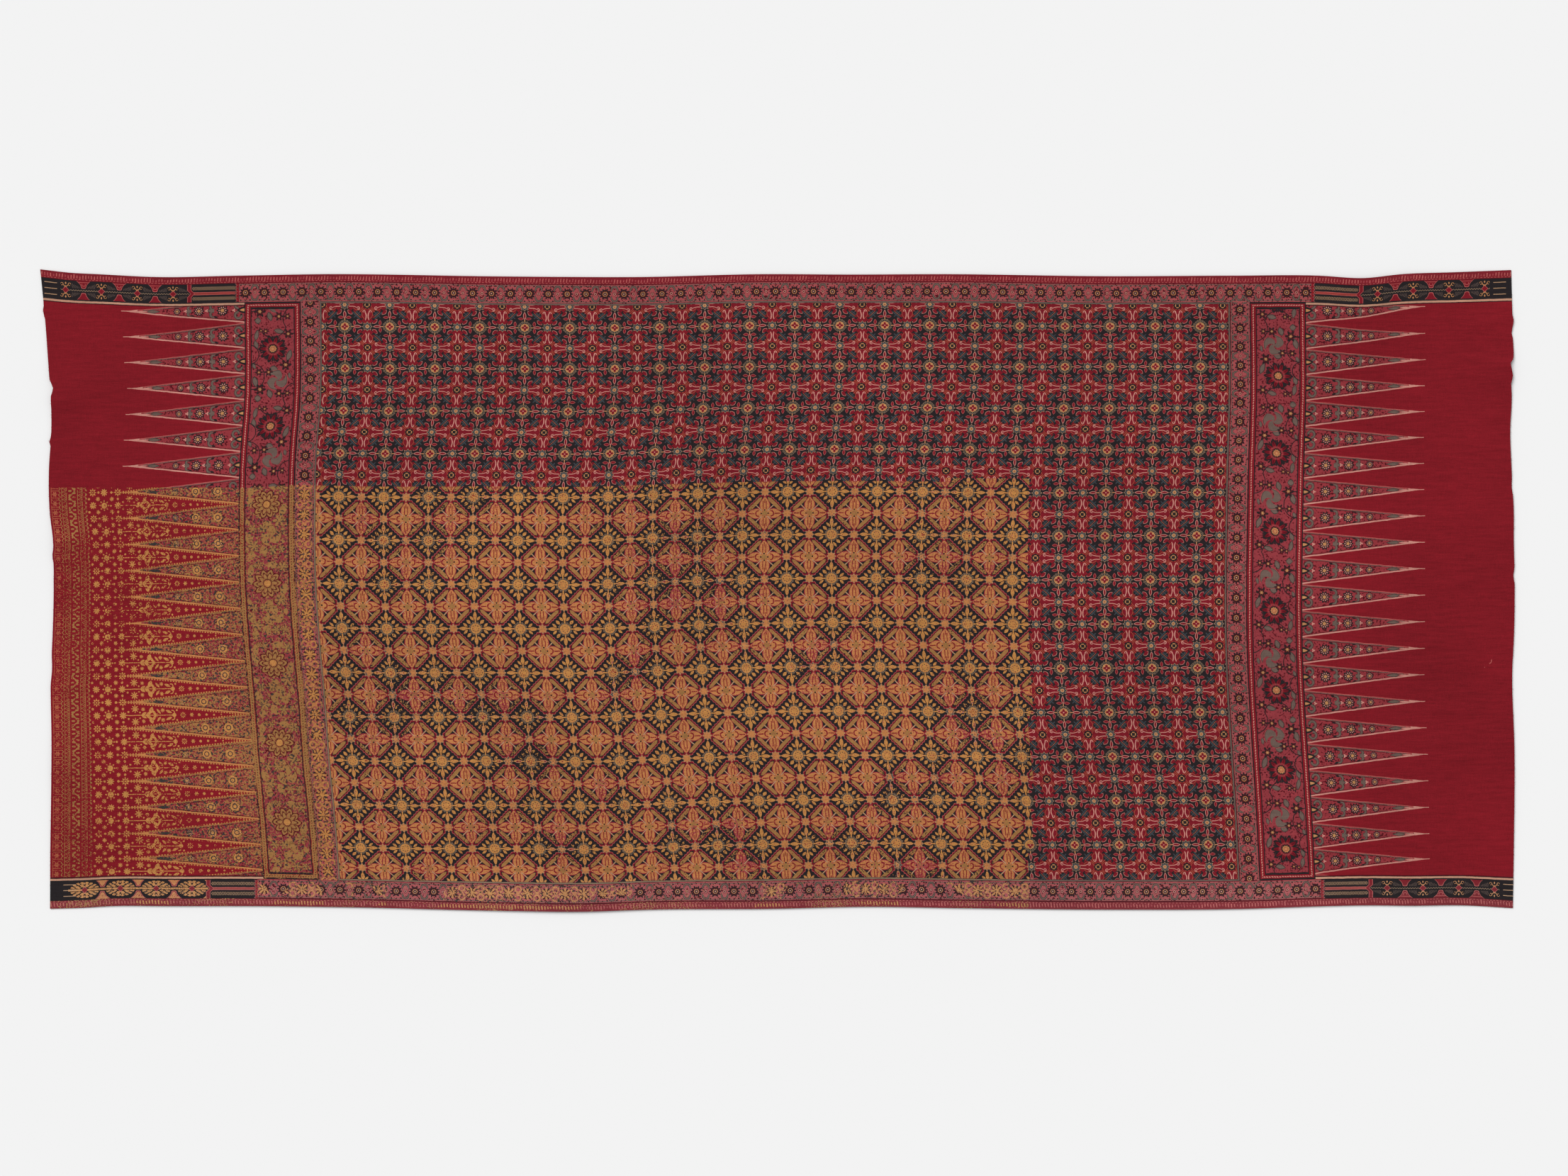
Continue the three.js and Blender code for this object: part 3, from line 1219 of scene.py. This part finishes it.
def draw_tooth_rosettes(sketch, out, side, inside):
    """The rosettes along a tooth: a ring of pale dots on black, around an ochre heart."""
    for row in TOOTH_ROSETTES:
        radius, angle = polar(out, side, (row.at, 0))
        share = radius * (1 / row.size)
        beads = (angle * 10).cosine()
        sketch.paint((share < beads.times_plus(0.15, 0.92)) & inside, "black")
        sketch.paint(share.near(0.57, 0.13) & (beads > 0.2) & inside, "pale")
        sketch.paint(share < scalloped(angle, 5, 0.07, 0.3), "ochre")


def draw_tooth_edges(sketch, out, side, margin, lower, gilded):
    """A broad line along a tooth's lower edge, fine ones along its upper edge, a pale tip."""
    inside = margin < 0
    broad = "pink_gold" if gilded else "pale"
    fine = "dark_gold" if gilded else "flesh"
    sketch.paint(margin.near(-3.0, 0.4) & (out < TOOTH_LENGTH - 62), "dark_red")
    sketch.paint(margin.near(-1.1, 1.0) & lower & inside, broad)
    sketch.paint(margin.near(-0.5, 0.5) & ~lower, fine)
    if not gilded:
        sketch.paint(margin.near(-1.9, 0.45) & ~lower & (out < TOOTH_LENGTH - 30), "grey")
    sketch.paint(inside & (out > TOOTH_LENGTH - 22), broad)
    sketch.paint((side < 0.55) & out.near(TOOTH_LENGTH - 6, 8), broad)


LINT = table(
    "at size turn",
    ((1017.2, -100.6), (3.0, 0.7), 80),
    ((1015.4, -103.5), (1.8, 0.7), 35),
    ((1007.7, -109.4), (0.6, 0.6), 0),
)


def draw_lint(sketch):
    """A shred of pale lint that lies on the plain madder."""
    x, y = sketch.split(sketch.cloth)
    x = x * (1 / MM)
    y = y * (1 / MM)
    for row in LINT:
        sketch.paint(leaf(x, y, *row) < 1, "flesh")


def draw_teeth(sketch, gilded):
    """The end: long teeth that point outward over plain madder, gilded or bare."""
    out = sketch.u
    from_middle = sketch.v.wrap(-0.5, 0.5) * TOOTH_PITCH
    side = from_middle.size()
    margin = out.times_plus(VALLEY / TOOTH_LENGTH, side - VALLEY)
    inside = margin < 0
    hatch(sketch, out, sketch.v * TOOTH_PITCH, inside)
    if not gilded:
        draw_tooth_scrolls(sketch, out, side, inside)
    draw_tooth_rosettes(sketch, out, side, inside)
    if gilded:
        worn = sketch.wear(0.43)
        tendrils = sketch.noise(190, detail=1.0, seed=3.8).near(0.5, 0.05)
        sketch.gild(inside & (tendrils | sketch.wear(0.56)) & worn, "dark_gold")
        sketch.paint(inside & sketch.specks(0.585), "ink")
        for row in TOOTH_ROSETTES[:2]:
            ring = distance(out, side, (row.at, 0))
            sketch.gild((ring < row.size - 1.5) & worn)
            sketch.paint(ring.near(3.2, 0.7), "ink")
        sketch.paint(leaf(out, side, (134, 0), (9.5, 2.0)) < 1, "ink")
        draw_gold_stamps(sketch, out, side, margin, worn)
        draw_gold_strips(sketch, out)
    draw_tooth_edges(sketch, out, side, margin, from_middle > 0, gilded)
    if gilded:
        sketch.fleck()
    else:
        draw_lint(sketch)


CARTOUCHE_PITCH = 51.0
FIRST_CARTOUCHE = 93.7
ROPE_END = 66.0
DIVIDER = 70.5
FIRST_BELL = 82.0
CHAIN_END = 254.0
BAND_HALF = 13.6


def draw_cartouche_motifs(sketch, along, run, rise, chain):
    """Red diamonds with scrolls and fern fans, joined by a beaded line."""
    height = run.times_plus(-0.42, 13.4)
    fan = run.near(14.0, 5.6) & (rise > 3.2) & (rise < height)
    strokes = (run * 3.4 + rise * 1.4).sine() > 0.62
    sketch.paint(fan & strokes & chain, "grey")
    beads = (along * 1.7).sine() * 0.6
    sketch.paint(sketch.v.near(beads, 0.5) & (run > 4.5) & chain, "khaki")
    curls = distance(run, rise, (5.4, 8.0)).near(1.9, 0.32) & ((run < 6.4) | (rise > 8))
    stems = leaf(run, rise, (1.8, 5.4), (4.6, 0.5), 50) < 1
    crossed = leaf(run, rise, (0.6, 4.6), (2.6, 0.5), -60) < 1
    tips = leaf(run, rise, (0, 9.6), (1.1, 1.6)) < 1
    sketch.paint((curls | stems | crossed | tips) & chain, "ochre")
    diamond = run * 0.95 + rise
    sketch.layers(diamond, (4.8, "flesh"), (4.0, "field_red"), where=chain)


def bell(gap, depth):
    """Under 1 inside a bell with a flared mouth that hangs from an edge of the band."""
    flank = depth.times_plus(depth.times_plus(-0.0065, 0.13), gap * 0.1)
    return flank.apply("SMOOTH_MAX", depth * 0.095, 0.3)


def draw_bells(sketch, gap, chain):
    """Red bells that hang from both edges between the motifs, the outer one with a curl."""
    outer = bell(gap, sketch.v + BAND_HALF)
    inner = bell(gap, BAND_HALF - sketch.v)
    bells = outer.at_most(inner)
    sketch.layers(bells, (1, "flesh"), (0.92, "field_red"), where=chain)
    curl = distance(gap, sketch.v, (0.6, -8.6)).near(2.0, 0.4) & (sketch.v > -9.8)
    sketch.paint((curl | (sketch.v.near(-11.8, 0.35) & (gap < 8))) & chain, "flesh")
    return bells


def draw_roped_part(sketch, along, rise):
    """The roped part beside the border: two crossed rows and a red bar, with a lobed end."""
    roped = along < ROPE_END
    sketch.paint(roped, "black")
    cross = along.fold(2.3) * 2.0 - 2.3
    plait = rise - 7.4
    sketch.paint((plait.near(cross, 0.42) | plait.near(cross * -1.0, 0.42)) & roped, "straw")
    sketch.layers(rise, (2.0, "flesh"), (1.2, "coral"), where=roped)
    head = (5.0 - rise).at_least(0.0)
    arrow = head + along - DIVIDER
    sketch.layers(arrow.size(), (3.0, "flesh"), (2.2, "field_red"))
    lobes = (sketch.v * 0.72).cosine().size()
    sketch.layers(lobes.times_plus(-2.4, along), (3.4, "ink"), (2.2, "flesh"), (1.4, "madder"))


def draw_cartouche(sketch, gilded):
    """The black band of the ends: red diamonds with scrolls, bells, and a roped part."""
    along = sketch.u
    rise = sketch.v.size()
    run = (along - FIRST_CARTOUCHE).fold(CARTOUCHE_PITCH / 2)
    gap = CARTOUCHE_PITCH / 2 - run
    chain = (along > DIVIDER) & (along < CHAIN_END)
    draw_cartouche_motifs(sketch, along, run, rise, chain)
    bells = draw_bells(sketch, gap, chain & (along > FIRST_BELL))
    if gilded:
        worn = sketch.wear(0.43)
        radius, angle = polar(run * 0.56, rise)
        spray = ((angle * 10).cosine() > -0.5) & radius.near(6.2, 2.0)
        spray = spray | (((angle * 18).cosine() > -0.2) & radius.near(10.1, 1.6))
        spray = spray | ((rise < 1.4) & (run > 4))
        sketch.gild(spray & worn & (bells > 1.15) & (along > DIVIDER) & (along < CHAIN_END + 16))
        sketch.gild((bells < 0.85) & worn & chain, "pink_gold")
    draw_roped_part(sketch, along, rise)
    bars = sketch.v.near(0, 0.5) | rise.near(8.2, 0.5)
    sketch.paint(bars & along.near(268, 9), "straw")
    if gilded:
        sketch.fleck()
    stripe = sketch.v - BAND_HALF
    sketch.paint(stripe > -0.8, "black")
    sketch.paint(stripe.near(2.4, 1.4), "tan")
    sketch.paint(stripe > 4.5, "dark_red")


def draw_selvedge(sketch, gilded):
    """The selvedge strip: a comb of pale dashes and a dotted line on red."""
    uneven = sketch.noise(120, detail=2.0, seed=8.8)
    comb = sketch.u.times_plus(1.48, sketch.v * 0.2).sine()
    height = uneven.times_plus(6.0, -0.7)
    dash = (comb > 0.2) & sketch.v.near(5.5, height)
    sketch.paint(dash, "rose")
    sketch.paint(dash & (uneven > 0.46) & (comb > 0.5), "flesh")
    sketch.paint(((sketch.u * 1.25).sine() > 0.0) & sketch.v.near(9.3, 0.4), "flesh")
    sketch.paint(sketch.v > STRIP - 0.6, "dark_red")
    if gilded:
        patches = sketch.noise(15, detail=1.0, seed=6.1) > 0.52
        sketch.gild(dash & patches & sketch.wear(0.4))
        sketch.gild(sketch.wear(0.58), "dark_gold")
        sketch.fleck()


REGIONS = table(
    "name ground draw wobble",
    ("field", "field_red", draw_field, 0.012),
    ("floral", "hatch", draw_floral, 0.6),
    ("panel", "hatch", draw_panel, 0.9),
    ("teeth", "madder", draw_teeth, 0.018),
    ("cartouche", "black", draw_cartouche, 0.5),
    ("selvedge", "strip_red", draw_selvedge, 0.6),
)


def make_materials():
    """Two materials for each region, plain and gilded."""
    found = {}
    for row in REGIONS:
        for gilded in (False, True):
            sketch = Sketch(row.name + ("_gilded" if gilded else ""), row.ground, row.wobble)
            row.draw(sketch, gilded)
            found[row.name, gilded] = sketch.finish()
    return found


# Faces that meet at a sharper angle than this keep a sharp edge.
SHARP = math.radians(50)

# The layout for baking: the back in a strip below, the face above it, a margin around each.
BAKE_SPLIT = 0.1
BAKE_MARGIN = 0.004


def bake_place(share, low, high):
    """Where a share of the cloth lies between two lines of the layout for baking."""
    return low + BAKE_MARGIN + (high - low - 2 * BAKE_MARGIN) * share


def make_cloth(materials):
    """The cloth: a face and a back on one grid, closed around its edge."""
    grid = stations(COLUMN_LINES, ALONG_STEP), stations(ROW_LINES, ACROSS_STEP)
    print_s, print_t = np.meshgrid(*grid)
    rows, columns = print_s.shape
    x, y, lift = place(print_s, print_t)
    face = np.stack([x, y, lift + THICK], axis=-1).reshape(-1, 3)
    back = np.stack([x, y, lift], axis=-1).reshape(-1, 3)
    index = np.arange(rows * columns).reshape(rows, columns)
    corners = [index[:-1, :-1], index[:-1, 1:], index[1:, 1:], index[1:, :-1]]
    quads = np.stack(corners, axis=-1).reshape(-1, 4)
    rim = np.concatenate([index[0, :-1], index[:-1, -1], index[-1, :0:-1], index[:0:-1, 0]])
    ahead = np.roll(rim, -1)
    below = rows * columns
    wall = np.stack([rim + below, ahead + below, ahead, rim], axis=-1)
    faces = np.concatenate([quads, quads[:, ::-1] + below, wall])
    mesh = bpy.data.meshes.new("kalamkari_cloth")
    mesh.from_pydata((np.concatenate([face, back]) * MM).tolist(), [], faces.tolist())

    s = np.tile(print_s.ravel(), 2)[faces]
    t = np.tile(print_t.ravel(), 2)[faces]
    near_s = s.mean(axis=1)
    near_t = t.mean(axis=1)
    corner_x = np.tile(x.ravel(), 2)[faces]
    names, gilded = regions_of(near_s, near_t, corner_x.mean(axis=1))
    gilded[len(quads):] = False
    order = list(materials)
    for key in order:
        mesh.materials.append(materials[key])
    mesh.polygons.foreach_set("material_index", [order.index(key) for key in zip(names, gilded)])
    mesh.polygons.foreach_set("use_smooth", [True] * len(faces))
    mesh.set_sharp_from_angle(angle=SHARP)

    per_corner = [np.repeat(values, 4) for values in (near_s, near_t, names)]
    u, v = drawing_places(s.ravel(), t.ravel(), corner_x.ravel(), *per_corner)
    add_uv(mesh, "Print", u, v)
    on_face = np.repeat(np.arange(len(faces)) < len(quads), 4)
    up = t.ravel() / WIDTH + 0.5
    bake_u = bake_place(s.ravel() / LENGTH + 0.5, 0, 1)
    bake_v = np.where(on_face, bake_place(up, BAKE_SPLIT, 1), bake_place(up, 0, BAKE_SPLIT))
    add_uv(mesh, "OFBake", bake_u, bake_v)
    mesh.validate()
    return add_object(mesh)


def add_uv(mesh, name, u, v):
    """A map of the mesh's corners."""
    layer = mesh.uv_layers.new(name=name)
    layer.data.foreach_set("uv", np.stack([u, v], axis=-1).ravel())


def add_object(mesh):
    """An object for a mesh, named after it."""
    piece = bpy.data.objects.new(mesh.name, mesh)
    bpy.context.scene.collection.objects.link(piece)
    return piece


# Loose yarns: how many at each end, how far from the corners, their form and their spread.
YARNS = 220
YARN_SEED = 7
YARN_MARGIN = 30
YARN_SIDES = 3
YARN_RADIUS = 0.16
YARN_TAPER = (1.0, 0.9, 0.5)
YARN_LENGTH = dict(shape=2.0, scale=0.28, least=0.3)
YARN_SWING = 0.5
YARN_TIP = dict(height=0.6, least=0.3)


def make_yarn_ends(material):
    """Short yarns that have worked loose along both cut ends."""
    rng = np.random.default_rng(YARN_SEED)
    reach = WIDTH / 2 - YARN_MARGIN
    points = []
    faces = []
    for end, heading in ((-LENGTH / 2, -1), (LENGTH / 2, 1)):
        rows = np.sort(rng.uniform(-reach, reach, YARNS))
        for x, y, z in zip(*place(np.full_like(rows, end), rows)):
            z = z + THICK / 2
            length = rng.gamma(YARN_LENGTH["shape"], YARN_LENGTH["scale"]) + YARN_LENGTH["least"]
            swing = rng.normal(0, YARN_SWING)
            middle = (x + heading * length * 0.5, y + swing * length * 0.3, z)
            tip_z = max(YARN_TIP["least"], z * YARN_TIP["height"])
            tip = (x + heading * length, y + swing * length, tip_z)
            start = len(points)
            for stop, taper in zip(((x, y, z), middle, tip), YARN_TAPER):
                for i in range(YARN_SIDES):
                    angle = 2 * math.pi * i / YARN_SIDES
                    side = YARN_RADIUS * taper * math.cos(angle)
                    rise = YARN_RADIUS * taper * math.sin(angle)
                    points.append((stop[0], stop[1] + side, stop[2] + rise))
            found = []
            for ring in (start, start + YARN_SIDES):
                for i in range(YARN_SIDES):
                    a = ring + i
                    b = ring + (i + 1) % YARN_SIDES
                    found.append((a, b, b + YARN_SIDES, a + YARN_SIDES))
            last = start + 2 * YARN_SIDES
            found.append(tuple(range(start + YARN_SIDES - 1, start - 1, -1)))
            found.append(tuple(range(last, last + YARN_SIDES)))
            faces += found if heading > 0 else [face[::-1] for face in found]
    mesh = bpy.data.meshes.new("yarn_ends")
    mesh.from_pydata((np.array(points) * MM).tolist(), [], faces)
    mesh.materials.append(material)
    mesh.validate()
    return add_object(mesh)


def make_yarn_material():
    """Loose cotton yarn, madder red and a little faded."""
    sketch = Sketch("loose_yarn", "madder", 0.0)
    sketch.paint(sketch.noise(300, seed=3.3) > 0.52, "rose")
    return sketch.finish()


# The stage, in metres and degrees.
FLOOR = dict(reach=30.0, grey=0.865)
SURROUND = 0.5
KEY = dict(energy=2.2, softness=40, tilt=(-30, -28, 0))
VIEW = dict(height=6.0, width=2.234, middle=(0.0096, 0.0035))


def make_floor():
    """A plain pale floor."""
    mesh = bpy.data.meshes.new("floor")
    sides = ((-1, -1), (1, -1), (1, 1), (-1, 1))
    corners = [(FLOOR["reach"] * x, FLOOR["reach"] * y, -MM) for x, y in sides]
    mesh.from_pydata(corners, [], [(0, 1, 2, 3)])
    paint = bpy.data.materials.new("floor_paint")
    paint.use_nodes = True
    shader = paint.node_tree.nodes["Principled BSDF"]
    shader.inputs["Base Color"].default_value = [FLOOR["grey"]] * 3 + [1]
    shader.inputs["Roughness"].default_value = 1.0
    shader.inputs["Specular IOR Level"].default_value = 0.0
    mesh.materials.append(paint)
    add_object(mesh)


def make_light():
    """Soft light from all round, and a broad soft key from the upper left."""
    scene = bpy.context.scene
    world = bpy.data.worlds.new("studio")
    world.use_nodes = True
    background = world.node_tree.nodes["Background"]
    background.inputs["Color"].default_value = (1, 1, 1, 1)
    background.inputs["Strength"].default_value = SURROUND
    scene.world = world
    lamp = bpy.data.lights.new("soft_key", "SUN")
    lamp.energy = KEY["energy"]
    lamp.angle = math.radians(KEY["softness"])
    key = bpy.data.objects.new("soft_key", lamp)
    key.rotation_euler = [math.radians(angle) for angle in KEY["tilt"]]
    scene.collection.objects.link(key)
    scene.view_settings.view_transform = "Standard"


def make_camera():
    """A long lens straight above, framed as the photograph is."""
    lens = bpy.data.cameras.new("camera")
    lens.sensor_width = 36.0
    lens.sensor_fit = "HORIZONTAL"
    lens.lens = lens.sensor_width * VIEW["height"] / VIEW["width"]
    lens.clip_end = 100.0
    camera = bpy.data.objects.new("camera", lens)
    camera.location = (*VIEW["middle"], VIEW["height"])
    bpy.context.scene.collection.objects.link(camera)
    bpy.context.scene.camera = camera


cloth = make_cloth(make_materials())
yarns = make_yarn_ends(make_yarn_material())
for piece in (cloth, yarns):
    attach(piece, "root")
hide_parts("cloth")
make_floor()
make_light()
make_camera()
